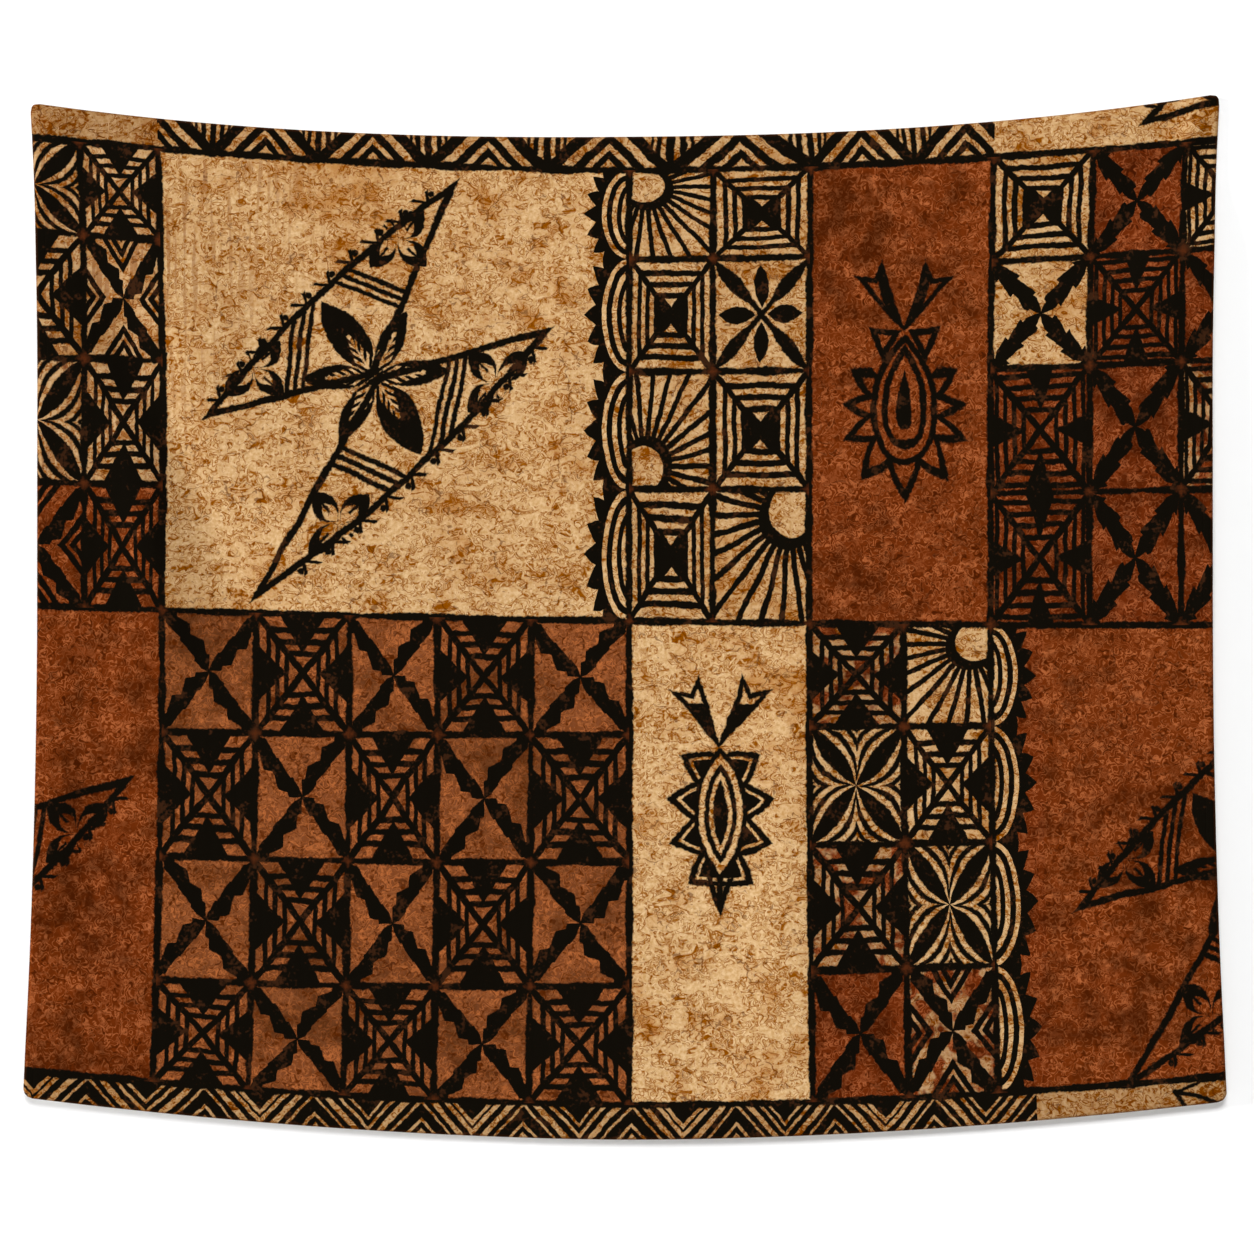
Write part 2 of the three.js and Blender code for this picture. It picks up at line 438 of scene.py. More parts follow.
def addNode(tree, kind, inputs=None, **settings):
    node = tree.nodes.new(kind)
    for name, value in settings.items():
        setattr(node, name, value)
    for name, value in (inputs or {}).items():
        value = value.socket if isinstance(value, Sum) else value
        if isinstance(value, bpy.types.NodeSocket):
            tree.links.new(value, node.inputs[name])
        else:
            node.inputs[name].default_value = value
    return node


# A value that nodes give. A sum written with it becomes Math nodes.
class Sum:
    def __init__(self, socket):
        self.socket = socket

    def __add__(self, other):
        return reckon("ADD", self, other)

    __radd__ = __add__

    def __sub__(self, other):
        return reckon("SUBTRACT", self, other)

    def __rsub__(self, other):
        return reckon("SUBTRACT", other, self)

    def __mul__(self, other):
        return reckon("MULTIPLY", self, other)

    __rmul__ = __mul__

    def __truediv__(self, other):
        return reckon("DIVIDE", self, other)

    def __neg__(self):
        return reckon("MULTIPLY", self, -1.0)

    def __abs__(self):
        return reckon("ABSOLUTE", self)


reckoned = {}  # a sum asked for twice is worked out once


def reckon(operation, *terms, clamped=False):
    sockets = [term.socket if isinstance(term, Sum) else term for term in terms]
    asked = (operation, clamped, *sockets)
    if asked not in reckoned:
        tree = next(term for term in terms if isinstance(term, Sum)).socket.id_data
        settings = {"operation": operation, "use_clamp": clamped}
        node = addNode(tree, "ShaderNodeMath", dict(enumerate(sockets)), **settings)
        reckoned[asked] = Sum(node.outputs[0])
    return reckoned[asked]


def larger(first, *others):
    for other in others:
        first = reckon("MAXIMUM", first, other)
    return first


def smaller(first, *others):
    for other in others:
        first = reckon("MINIMUM", first, other)
    return first


# From 0 to 1 as the value rises, or falls where it is given a negative steepness
def ramp(value, steepness, lift):
    return reckon("MULTIPLY_ADD", value, steepness, lift, clamped=True)


def fract(value):
    return reckon("FRACT", value)


def above(value, limit):
    return reckon("GREATER_THAN", value, limit)


def square(value):
    return value * value


def length(x, y):
    return reckon("SQRT", square(x) + square(y))


# 1 at every whole number and 0 half way between
def peaks(value):
    return abs(fract(value) - 0.5) * 2


# Lines at every whole number of steps, each as wide as given
def stripes(value, step, width):
    return width / 2 - (1 - peaks(value / step)) * (step / 2)


# How far a point lies to the left of the line from start to end
def edgeGap(x, y, start, end):
    runX, runY = end[0] - start[0], end[1] - start[1]
    run = math.hypot(runX, runY)
    return (x - start[0]) * (-runY / run) + (y - start[1]) * (runX / run)


# A leaf along a line: as wide as twice its half at its middle, pointed at both ends
def leafShape(along, aside, half, middle, reach):
    return half * (1 - square((along - middle) / reach)) - aside


# Lines at the given places, each with half its width
def linesAt(value, places):
    return larger(*[half - abs(value - at) for at, half in places])


# Each motif gives how deep a point lies in the ink: over 0 is inked. A tile is 2 wide and 2 high.
notchedArms = {
    "wide": 0.225, "tooth": 0.165, "toothFrom": 0.65, "toothSlant": 0.65,  # the side with deep teeth
    "narrow": 0.08, "nick": 0.04, "nickSlant": 0.4,  # the side that is only nicked
    "teeth": 3.3,  # from the middle to a corner
}


def notchedTile(p, q):
    arms = notchedArms
    a, b = abs(p), abs(q)
    reach = (a + b) * 0.5
    aside = (a - b) * reckon("SIGN", p * q)  # every arm is notched on the same turn of its diagonal
    taper = smaller((1 - reach) * 6 + 0.1, reach * 7 + 0.25, 1.0)
    teeth = fract((arms["toothFrom"] - reach + aside * arms["toothSlant"]) * arms["teeth"])
    nicks = fract((reach - aside * arms["nickSlant"]) * arms["teeth"])
    notched = arms["wide"] + arms["tooth"] * teeth
    nicked = arms["narrow"] + arms["nick"] * nicks
    return smaller(aside + nicked * taper, notched * taper - aside)


# Arms barbed on both sides, each barb widest towards the middle
lobedArms = {"wide": 0.29, "barb": 0.11, "barbs": 3.3, "barbFrom": 0.3, "slant": 0.1, "stagger": 0.17}


def lobedTile(p, q):
    arms = lobedArms
    a, b = abs(p), abs(q)
    reach, aside = (a + b) * 0.5, (a - b) * reckon("SIGN", p * q)
    taper = smaller((1 - reach) * 4 + 0.1, reach * 4.5 + 0.1, 1.0)
    lean = reach * arms["barbs"] + arms["barbFrom"] + abs(aside) * arms["slant"]
    barbs = fract(lean + reckon("SIGN", aside) * arms["stagger"])
    return (arms["wide"] - arms["barb"] * barbs) * taper - abs(aside)


# A wedge from each side, a cross between the corners, and rungs over both
rungs = {
    "stepped": {"cross": 0.092, "wedgeFrom": 0.33, "wedge": 0.77,
                "at": 0.335, "step": 0.195, "width": 0.105, "from": 0.27, "to": 0.85},
    "ladder": {"cross": 0.085, "wedgeFrom": 0.27, "wedge": 0.4,
               "at": 0.33, "step": 0.18, "width": 0.095, "from": 0.27, "to": 0.93},
}


def rungedTile(p, q, sizes):
    a, b = abs(p), abs(q)
    far, near = larger(a, b), smaller(a, b)
    wedge = (far - sizes["wedgeFrom"]) * sizes["wedge"] - near
    bars = stripes(far - sizes["at"], sizes["step"], sizes["width"])
    bars = smaller(bars, far - sizes["from"], sizes["to"] - far)
    return larger(sizes["cross"] - (far - near), wedge, bars)


def steppedTile(p, q):
    return rungedTile(p, q, rungs["stepped"])


def ladderTile(p, q):
    return rungedTile(p, q, rungs["ladder"])


squareRings = {"cross": 0.085, "at": 0.35, "step": 0.2, "width": 0.112, "from": 0.29, "to": 0.85,
               "core": 0.4, "coreLean": 0.03, "coreCross": 0.15}


def squaresTile(p, q):
    sizes = squareRings
    a, b = abs(p), abs(q)
    far, near = larger(a, b), smaller(a, b)
    rings = stripes(far - sizes["at"], sizes["step"], sizes["width"])
    rings = smaller(rings, far - sizes["from"], sizes["to"] - far)
    core = larger(a - b + sizes["coreLean"], sizes["coreCross"] - (far - near))
    return larger(sizes["cross"] - (far - near), rings, smaller(sizes["core"] - far, core))


# Rays from a sun in the corner, whose rim thickens towards the rays
fan = {"middle": (-0.59, -0.62), "stretch": 1.2, "rays": 4.7, "ray": 0.06, "raysFrom": 0.5,
       "sun": 0.52, "rim": 0.07, "rimGrowth": 0.045}


def fanTile(p, q):
    x, y = p - fan["middle"][0], (q - fan["middle"][1]) * fan["stretch"]
    out = length(x, y)
    between = 1 - peaks(reckon("ARCTAN2", y, x) * fan["rays"])
    rays = fan["ray"] - out * between / (fan["rays"] * 2)
    crescent = fan["rim"] + fan["rimGrowth"] * (x + y) / out - abs(out - fan["sun"])
    return larger(crescent, smaller(rays, out - fan["raysFrom"]))


petals = {"vein": 0.122, "point": 0.02, "rims": ((0.233, 0.04), (0.37, 0.033), (0.45, 0.022))}


def petalsTile(p, q):
    a, b = abs(p), abs(q)
    along = (a + b) * 0.5
    aside = abs(a - b) * 0.5 / (4 * along * (1 - along) + petals["point"])
    return larger(petals["vein"] - aside, linesAt(aside, petals["rims"]))


# Half width, middle and half length of the leaves
leaves = {"straight": (0.16, 0.5, 0.37), "slanted": (0.1, 0.57, 0.42), "stem": 0.04}


def leavesTile(p, q):
    a, b = abs(p), abs(q)
    straight = leafShape(larger(a, b), smaller(a, b), *leaves["straight"])
    along, aside = (a + b) * 0.5, abs(a - b) * 0.5
    return larger(straight, leafShape(along, aside, *leaves["slanted"]), leaves["stem"] - aside)


chevrons = {"lean": 1.1, "bands": ((0.5, 0.085), (0.745, 0.085)), "outerFrom": 0.93}


def chevronTile(p, q):
    a, b = abs(p), abs(q)
    vee = larger(a, b) - smaller(a, b) * chevrons["lean"]
    return larger(notchedTile(p, q), linesAt(vee, chevrons["bands"]), vee - chevrons["outerFrom"])


# Arcs of a scallop, from 0 on its chord to 1 on its rim; the inner ones are longer than round
def scallopReach(p, q):
    return (square(q) + length(square(q), p * 2)) * 0.5


scallop = {"arcs": ((0.725, 0.105), (0.36, 0.09)), "band": 1.25, "tooth": 0.42, "teeth": 3.47,
           "endTeeth": 0.25, "chordBand": 0.66}


def scallopMotif(p, q):
    reach = scallopReach(p, q)
    tooth = scallop["tooth"] * peaks(reckon("ARCTAN2", q, p) * scallop["teeth"])
    teeth = scallop["band"] + tooth * (1 - abs(q) * scallop["endTeeth"]) - length(p, q)
    outside = smaller(reach - 1, larger(teeth, scallop["chordBand"] - p))
    return larger(linesAt(reach, scallop["arcs"]), outside)


# Sizes of the star in units of 100 mm from its middle
star = {
    "highTip": (1.31, 2.68),
    "lowTip": (-2.24, -0.61),
    "split": (0.45, 0.9),  # the way across the line between the two blades
    "highTurn": 0.0275,  # the upper blade is drawn a little narrower than the lower one
    "lean": 0.05,
    "longer": 0.04,
    "bow": 0.2,
    "line": 0.045,
    "highWay": (0.404, 0.915),
    "lowWay": (-0.988, 0.16),
    "lowNearer": 1.08,
    "bandFrom": 0.92,
    "bandTo": 1.24,
    "barStep": 0.113,
    "barShift": 0.03,
    "bar": 0.07,
    "highFlower": (0.36, 1.80),
    "lowFlower": (-1.54, 0.09),
    "flowerPast": 0.09,
    "flowerTurn": math.radians(45),
    "petalTurn": math.radians(3),
    "bigPetalTurn": math.radians(123),
}


def starMotif(p, q):
    middle, high, low = (0.0, 0.0), star["highTip"], star["lowTip"]
    half = reckon("SIGN", q * star["split"][1] - p * star["split"][0])
    # the two blades are one, turned about the middle; the lower is longer and leans out more
    x, y = p * half + q * star["lean"], q * half + q * star["longer"]
    run = math.hypot(high[0] - low[0], high[1] - low[1])
    along = (x - low[0]) * ((high[0] - low[0]) / run) + (y - low[1]) * ((high[1] - low[1]) / run)
    outer = edgeGap(x, y, high, low) + star["bow"] * (1 - square(along * (2 / run) - 1))
    narrowed = (q * star["split"][1] + p * star["split"][0]) * star["highTurn"]
    inner = edgeGap(x, y, middle, high) - narrowed
    inside = smaller(inner, outer, edgeGap(x, y, low, middle))
    ink = star["line"] - abs(inside - star["line"])
    highWay = x * star["highWay"][0] + y * star["highWay"][1]
    lowWay = x * star["lowWay"][0] + y * star["lowWay"][1]
    band = larger(highWay, lowWay * star["lowNearer"])
    bars = stripes(band - star["bandFrom"] - star["barShift"], star["barStep"], star["bar"])
    bars = smaller(bars, band - star["bandFrom"], star["bandTo"] - band, inside)
    ink = larger(ink, bars, starTwigs(along, outer, run))
    flower = smaller(tipFlower(x, y, above(highWay, lowWay)), inside + star["flowerPast"])
    return larger(ink, flower, starFlower(x, y))


# Pairs of twigs with a bud, along the outer edges of the star
twigs = {"step": 0.42, "leaning": 0.6, "leaningWidth": 0.06, "upright": 0.9, "uprightShift": 0.07,
         "uprightWidth": 0.062, "bud": 0.045, "budShift": 0.3, "budOut": 0.04,
         "long": 0.115, "root": 0.03, "from": 0.25, "short": 0.5}


def starTwigs(along, outer, run):
    leaning = stripes(along + outer * twigs["leaning"], twigs["step"], twigs["leaningWidth"])
    upright = along - outer * twigs["upright"] + twigs["uprightShift"]
    upright = stripes(upright, twigs["step"], twigs["uprightWidth"])
    budWay = (fract(along / twigs["step"] + twigs["budShift"]) - 0.5) * twigs["step"]
    bud = twigs["bud"] - length(budWay, outer + twigs["budOut"])
    pair = smaller(larger(leaning, upright), outer + twigs["long"], twigs["root"] - outer)
    return smaller(larger(pair, bud), along - twigs["from"], run - twigs["short"] - along)


# Petals all round a middle, as the place along and across the nearest one
def petalPlace(x, y, turn, step):
    out = length(x, y)
    angle = reckon("ARCTAN2", y, x) - turn
    lean = (fract(angle / step + 0.5) - 0.5) * step
    return out * reckon("COSINE", lean), abs(out * reckon("SINE", lean)), out


tipPetals = {"leaf": (0.155, 0.27, 0.25), "cut": (0.085, 0.17, 0.15), "vein": 0.02, "veinFrom": 0.17}


def tipFlower(x, y, atHigh):
    high, low = star["highFlower"], star["lowFlower"]
    flowerX = x - (atHigh * (high[0] - low[0]) + low[0])
    flowerY = y - (atHigh * (high[1] - low[1]) + low[1])
    along, across, _ = petalPlace(flowerX, flowerY, star["flowerTurn"], math.pi / 2)
    vein = smaller(tipPetals["vein"] - across, along - tipPetals["veinFrom"])
    cut = leafShape(along, across, *tipPetals["cut"])
    return smaller(leafShape(along, across, *tipPetals["leaf"]), larger(-cut, vein))


# Six petals, two of them big, each with a pale feather
starPetals = {"reach": 0.95, "bigReach": 0.22, "half": 0.16, "bigHalf": 0.085,
              "veinStep": 0.14, "vein": 0.062, "veinSlant": 1.6, "feather": 0.125, "featherReach": 0.66,
              "stem": 0.013, "featherFrom": 0.12, "featherTo": 0.62}


def starFlower(x, y):
    sizes = starPetals
    along, across, out = petalPlace(x, y, star["petalTurn"], math.pi / 3)
    toBig = x * math.cos(star["bigPetalTurn"]) + y * math.sin(star["bigPetalTurn"])
    big = above(toBig, out * math.cos(math.pi / 6))
    reach = sizes["reach"] + sizes["bigReach"] * big
    half = sizes["half"] + sizes["bigHalf"] * big
    leaf = half * (1 - square(along * 2 / reach - 1)) - across
    veins = stripes(along - across * sizes["veinSlant"], sizes["veinStep"], sizes["vein"])
    veins = smaller(veins, leafShape(along, across, sizes["feather"], 0.0, sizes["featherReach"]))
    feather = larger(veins, sizes["stem"] - across)
    feather = smaller(feather, sizes["featherTo"] - along, along - sizes["featherFrom"])
    return smaller(leaf, -feather)


# Pods in units of 100 mm from the middle of the body; tails are drawn for the right and mirrored
tail = {"inner": (0.28, 0.865), "notch": (0.375, 0.65), "outer": (0.61, 0.69),
        "past": 0.015, "line": 0.034}


def podTail(side, y, bandWidth, fillHeight):
    join = (0.0, 0.0)
    within = edgeGap(side, y, tail["inner"], join)
    top = larger(edgeGap(side, y, tail["outer"], tail["notch"]),
                 edgeGap(side, y, tail["notch"], tail["inner"]))
    inside = smaller(within, edgeGap(side, y, join, tail["outer"]), top) + tail["past"]
    fill = smaller(inside, larger(bandWidth - within, fillHeight - y))
    return larger(tail["line"] - abs(inside - tail["line"]), fill)


# How far a point lies outside a drop with a pointed, arched top and a rounded foot
def dropGap(side, q, half, tip, foot):
    radius = (tip**2 + half**2) / (2 * half)
    arch = length(side + (radius - half), q) - radius
    y = q * (half / foot)
    ball = length(side, y)
    bowl = (ball - half) * (1 + (foot / half - 1) * square(y / ball))
    return bowl + above(q, 0.0) * (arch - bowl)


drop = {
    "body": (0.425, 0.955, 0.69),  # half width, height of the tip, depth of the foot
    "inner": (0.285, 0.83, 0.495), "core": (0.105, 0.59, 0.18),
    "line": 0.042, "bodyIn": 0.038, "innerIn": 0.036, "coreDown": 0.08, "footFrom": 0.37,
    "tooth": 0.4, "toothLoss": 0.07, "teeth": 1.79, "toothLine": 0.044, "toothSlope": 0.48,
    "teethTo": 2.5, "teethIn": 0.03,
    "ear": ((0.05, 1.0), (0.45, 1.06), (0.27, 0.6)), "earIn": 0.034,
    "join": 1.0, "tailBand": 0.13, "tailFill": 0.1,
}


def dropMotif(p, q):
    side = abs(p)
    gap = dropGap(side, q, *drop["body"])
    inner = dropGap(side, q, *drop["inner"])
    core = dropGap(side, q + drop["coreDown"], *drop["core"])
    foot = smaller(-inner, -drop["footFrom"] - q)
    rims = larger(drop["line"] - abs(gap + drop["bodyIn"]), drop["line"] - abs(inner + drop["innerIn"]))
    angle = reckon("ARCTAN2", side, -q)
    tooth = (drop["tooth"] - drop["toothLoss"] * angle) * peaks(angle * drop["teeth"])
    teeth = drop["toothLine"] - abs(gap - tooth) * drop["toothSlope"]
    teeth = smaller(teeth, drop["teethTo"] - angle, gap + drop["teethIn"])
    root, tip, lower = drop["ear"]
    sides = [edgeGap(side, q, *ends) for ends in ((root, lower), (lower, tip), (tip, root))]
    ear = drop["line"] - abs(smaller(*sides) - drop["earIn"])
    tails = podTail(side, q - drop["join"], drop["tailBand"], drop["tailFill"])
    return larger(rims, -core, foot, teeth, ear, tails)


lens = {
    "half": 0.338, "tip": 0.842, "line": 0.034, "rims": (0.026, 0.16), "core": 0.24,
    "tooth": 0.3, "teeth": 2.73, "toothShift": 0.333, "toothLine": 0.038, "toothSlope": 0.62,
    "toothFill": 0.11, "teethIn": 0.03, "teethFrom": 0.92, "teethTo": 0.68,
    "spikeFoot": 1.33, "spikeWay": (0.945, 0.325), "spikeLine": 0.038, "spikeStem": 0.045, "spikeTo": 0.8,
    "join": 0.855, "tailBand": 0.05, "tailFill": 0.54,
}


def lensMotif(p, q):
    side = abs(p)
    radius = (lens["tip"] ** 2 + lens["half"] ** 2) / (2 * lens["half"])
    x = side + (radius - lens["half"])
    gap = length(x, q) - radius
    body = larger(*[lens["line"] - abs(gap + inward) for inward in lens["rims"]], -lens["core"] - gap)
    angle = reckon("ARCTAN2", q, x)
    tooth = lens["tooth"] * peaks(angle * lens["teeth"] - lens["toothShift"])
    line = lens["toothLine"] - abs(gap - tooth) * lens["toothSlope"]
    teeth = larger(line, tooth - lens["toothFill"] - gap)
    teeth = smaller(teeth, gap + lens["teethIn"], q + lens["teethFrom"], lens["teethTo"] - angle)
    edge = side * lens["spikeWay"][0] - (q + lens["spikeFoot"]) * lens["spikeWay"][1]
    spike = larger(lens["spikeLine"] - abs(edge + lens["spikeLine"]), lens["spikeStem"] - side)
    spike = smaller(spike, -edge, -lens["spikeTo"] - q)
    return larger(body, teeth, spike, podTail(side, q - lens["join"], lens["tailBand"], lens["tailFill"]))


# Nested chevrons with upright strokes between, one bay to a unit along the border
rays = {"chevrons": ((0.97, 0.14), (0.55, 0.1), (0.26, 0.08)), "upright": 0.06, "uprightFrom": 0.9,
        "short": (0.82, 0.045), "shortFrom": 0.2, "thin": (0.7, 0.03), "thinFrom": 1.05}


def raysBorder(p, q):
    fromMiddle = 1 - peaks(p + 0.5)
    rise = q + fromMiddle
    upright = smaller(rays["upright"] - abs(1 - fromMiddle), rise - rays["uprightFrom"])
    short = smaller(linesAt(fromMiddle, [rays["short"]]), q - rays["shortFrom"], rise - 1)
    thin = smaller(linesAt(fromMiddle, [rays["thin"]]), rise - rays["thinFrom"])
    return larger(linesAt(rise, rays["chevrons"]), upright, short, thin)


zigzag = {"slope": 1.1, "foot": 0.363, "notchAt": 0.495, "notch": 0.035, "notchMore": 0.03,
          "bands": ((0.723, 0.082), (1.03, 0.074), (1.303, 0.138), (1.58, 0.065))}


def zigzagBorder(p, q):
    rise = q + peaks(p) * zigzag["slope"]
    everyOther = above(fract(p * 0.5), 0.5)  # the notch line is finer in every other bay
    inNotch = zigzag["notch"] + zigzag["notchMore"] * everyOther - abs(rise - zigzag["notchAt"])
    return larger(zigzag["foot"] - rise, inNotch, linesAt(rise, zigzag["bands"]))


# A brush stroke from start to end
def stroke(p, q, start, end, half):
    runP, runQ = end[0] - start[0], end[1] - start[1]
    along = ((p - start[0]) * runP + (q - start[1]) * runQ) / (runP**2 + runQ**2)
    along = larger(smaller(along, 1.0), 0.0)
    return half - length(p - start[0] - along * runP, q - start[1] - along * runQ)


# The tip of a blade that the lower right corner cuts off, as strokes in units of 100 mm
tipStrokes = [
    ((0.0, 0.0), (0.6, -0.17), 0.032),
    ((0.0, 0.0), (0.18, -0.27), 0.03),
    ((0.04, -0.01), (0.42, 0.15), 0.025),
]


def bladeTip(p, q):
    return larger(*[stroke(p, q, *ends) for ends in tipStrokes])


motifInk = {
    "notched": notchedTile, "lobed": lobedTile, "stepped": steppedTile, "ladder": ladderTile,
    "squares": squaresTile, "fan": fanTile, "petals": petalsTile, "leaves": leavesTile,
    "chevron": chevronTile, "star": starMotif, "drop": dropMotif, "lens": lensMotif,
    "scallop": scallopMotif, "raysUp": raysBorder, "zigzag": zigzagBorder, "bladeTip": bladeTip,
}

# Colours of the print, in sRGB; the crack brown also serves as painted shade along the cloth's edge
inks = {
    "cream": "#B28B59", "creamLight": "#CCAB7F", "stain": "#884604", "fibre": "#703402",
    "crack": "#54280A", "rust": "#622808", "rustLight": "#AC6236", "rustDark": "#2A0B00",
    "black": "#0D0A06", "worn": "#301B0E", "smudge": "#4D240F", "back": "#B9AE9C",
}

# Noise in the print, with the size of its grain in millimetres, how it lies and its node's settings
barkLayers = {
    "waver": {"mm": 46, "lies": "even", "node": {"Detail": 0.0}},
    "rough": {"mm": 13, "lies": "even", "node": {"Detail": 1.0}},
    "grain": {"mm": 4.5, "lies": "even", "node": {"Detail": 1.0}},
    "worm": {"mm": 8, "lies": "even", "node": {"Detail": 0.5, "Distortion": 1.2}},
    "curl": {"mm": 17.3, "lies": "across", "node": {"Detail": 1.5, "Distortion": 1.0}},
    "blotch": {"mm": 48, "lies": "even", "node": {"Detail": 3.0, "Roughness": 0.66}},
    "cloud": {"mm": 260, "lies": "even", "node": {"Detail": 1.0}},
    "streak": {"mm": 7, "lies": "down", "node": {"Detail": 1.0}},
    "wear": {"mm": 30, "lies": "even", "node": {"Detail": 2.0, "Roughness": 0.6}},
}
barkStretch = {"even": (1.0, 1.0), "across": (0.68, 1.2), "down": (1.0, 0.06)}

# How strongly each layer shows, and the sizes of lines, cracks, threads and hem
printLook = {
    "stain": 0.52, "shade": 0.3, "ridge": 0.82, "fibre": 0.88, "streak": 0.5, "crack": 0.8, "speck": 0.64,
    "rustRidge": 0.25, "rustBeaten": 0.45, "rustCrack": 0.7, "rustFibre": 0.55, "rustShade": 0.7,
    # edge is the share of painted shade that darkens the cloth towards its edge
    "smudge": 0.8, "edge": 0.3, "back": 0.82,
    "lineHalf": 0.046, "lineWaver": 0.04, "lineRough": 0.025, "inkGrain": 0.03, "edgeSharpness": 55,
    "crackMm": 75, "crackStretch": (0.9, 2.3), "crackWaver": (0.03, 0.05), "crackRough": (0.015, 0.03),
    "weaveMm": 2.6,  # threads lie closer on the real cloth; drawn this coarse so that they show
    "wavesPerUnit": 20, "bump": 0.35, "bumpDeep": 0.0006, "rough": 0.95,
}


# Woven polyester printed in one pass: matte, with a fine thread grain and no gloss even on the black
def printedPolyester(group):
    look = printLook
    material = bpy.data.materials.new(group["name"])
    material.use_nodes = True
    tree = material.node_tree
    tree.nodes.clear()
    spot = addNode(tree, "ShaderNodeTexCoord").outputs["Object"]
    axes = addNode(tree, "ShaderNodeSeparateXYZ", {0: spot})
    x, z = Sum(axes.outputs[0]), Sum(axes.outputs[2])
    spreads = {}
    for lies, (across, down) in barkStretch.items():
        spreads[lies] = addNode(tree, "ShaderNodeCombineXYZ", {0: x * across, 1: z * down}).outputs[0]
    noise = {}
    for name, layer in barkLayers.items():
        inputs = dict(layer["node"], Vector=spreads[layer["lies"]], Scale=1000 / layer["mm"])
        noise[name] = addNode(tree, "ShaderNodeTexNoise", inputs, noise_dimensions="2D").outputs
    grain, worm, curl, blotch, cloud, streak, wear = (
        Sum(noise[name]["Fac"])
        for name in ("grain", "worm", "curl", "blotch", "cloud", "streak", "wear"))
    code, ground, tone, back, fromEdge = (
        Sum(addNode(tree, "ShaderNodeAttribute", attribute_name=name).outputs["Fac"])
        for name in ("motif", "ground", "tone", "back", "fromEdge"))

    # hand-cut edges: the whole drawing wavers, and its edges are rough at a finer scale
    waver, rough = (
        addNode(tree, "ShaderNodeSeparateColor", {0: noise[name]["Color"]})
        for name in ("waver", "rough"))
    waverP, waverQ = Sum(waver.outputs[0]) - 0.5, Sum(waver.outputs[1]) - 0.5
    roughP, roughQ = Sum(rough.outputs[0]) - 0.5, Sum(rough.outputs[1]) - 0.5
    place = addNode(tree, "ShaderNodeUVMap", uv_map="printPlace").outputs[0]
    place = addNode(tree, "ShaderNodeSeparateXYZ", {0: place})
    p = Sum(place.outputs[0]) + (waverP * group["waver"] + roughP * group["rough"])
    q = Sum(place.outputs[1]) + (waverQ * group["waver"] + roughQ * group["rough"])

    # ink depth of the motif in whose cell the point lies
    ink = code * 0.0 - 0.5
    for name in (name for name in group["motifs"] if name in motifInk):
        here = reckon("COMPARE", code, float(motifs[name]), 0.5)
        ink = reckon("MULTIPLY_ADD", here, motifInk[name](p, q) + 0.5, ink)

    # lines between the cells, with brown smudges where they cross
    lines = addNode(tree, "ShaderNodeUVMap", uv_map="printLines").outputs[0]
    lines = addNode(tree, "ShaderNodeSeparateXYZ", {0: lines})
    across = abs(Sum(lines.outputs[0]) + waverP * look["lineWaver"])
    down = abs(Sum(lines.outputs[1]) + waverQ * look["lineWaver"])
    ink = larger(ink, look["lineHalf"] + roughP * look["lineRough"] - smaller(across, down))
    ink = ramp(ink + (grain - 0.5) * look["inkGrain"], look["edgeSharpness"], 0.5)
    smudge = ramp(across + down + (grain - 0.5) * 0.12, -11.0, 1.15)

    # beaten bark: pale pulp with fine squiggles, longer fibres, cracks, stains, streaks at the upper left
    crackX, crackZ = look["crackStretch"]
    bent = addNode(tree, "ShaderNodeCombineXYZ", {
        0: x * crackX + waverP * look["crackWaver"][0] + roughP * look["crackRough"][0],
        1: z * crackZ + waverQ * look["crackWaver"][1] + roughQ * look["crackRough"][1]}).outputs[0]
    crack = addNode(tree, "ShaderNodeTexVoronoi", {"Vector": bent, "Scale": 1000 / look["crackMm"]},
                    voronoi_dimensions="2D", feature="DISTANCE_TO_EDGE")
    crack = ramp(Sum(crack.outputs["Distance"]), -42.0, 1.1) * ramp(blotch + worm * 0.5, 6.0, -3.95)
    speck = ramp(worm + (blotch - 0.5) * 0.5, 12.0, -8.6)
    ridge = ramp(abs(worm - 0.5), -9.0, 1.1)
    beaten = ramp(curl + (grain - 0.5) * 0.6, 6.0, -2.4)
    fibre = ramp(abs(curl - 0.5), -20.0, 1.2) * ramp(worm + blotch, 4.5, -3.75)
    stain = ramp(blotch + (cloud - 0.5) * 0.5 + (grain - 0.5) * 0.4, 7.0, -4.15)
    shade = ramp(blotch + (cloud - 0.5) * 0.5, 3.2, -1.35)
    pulp = ramp(grain, 2.2, -0.55)
    streak = ramp(streak, 9.0, -5.0) * ramp(z * 0.5 - x, 4.0, -1.0) * ramp(z, -40.0, -0.4)
    stained = larger(stain * look["stain"], shade * look["shade"])
    squiggles = larger(ridge * beaten * look["ridge"], fibre * look["fibre"])
    rubbed = ramp(wear + (grain - 0.5) * 0.5, 7.0, -4.3)

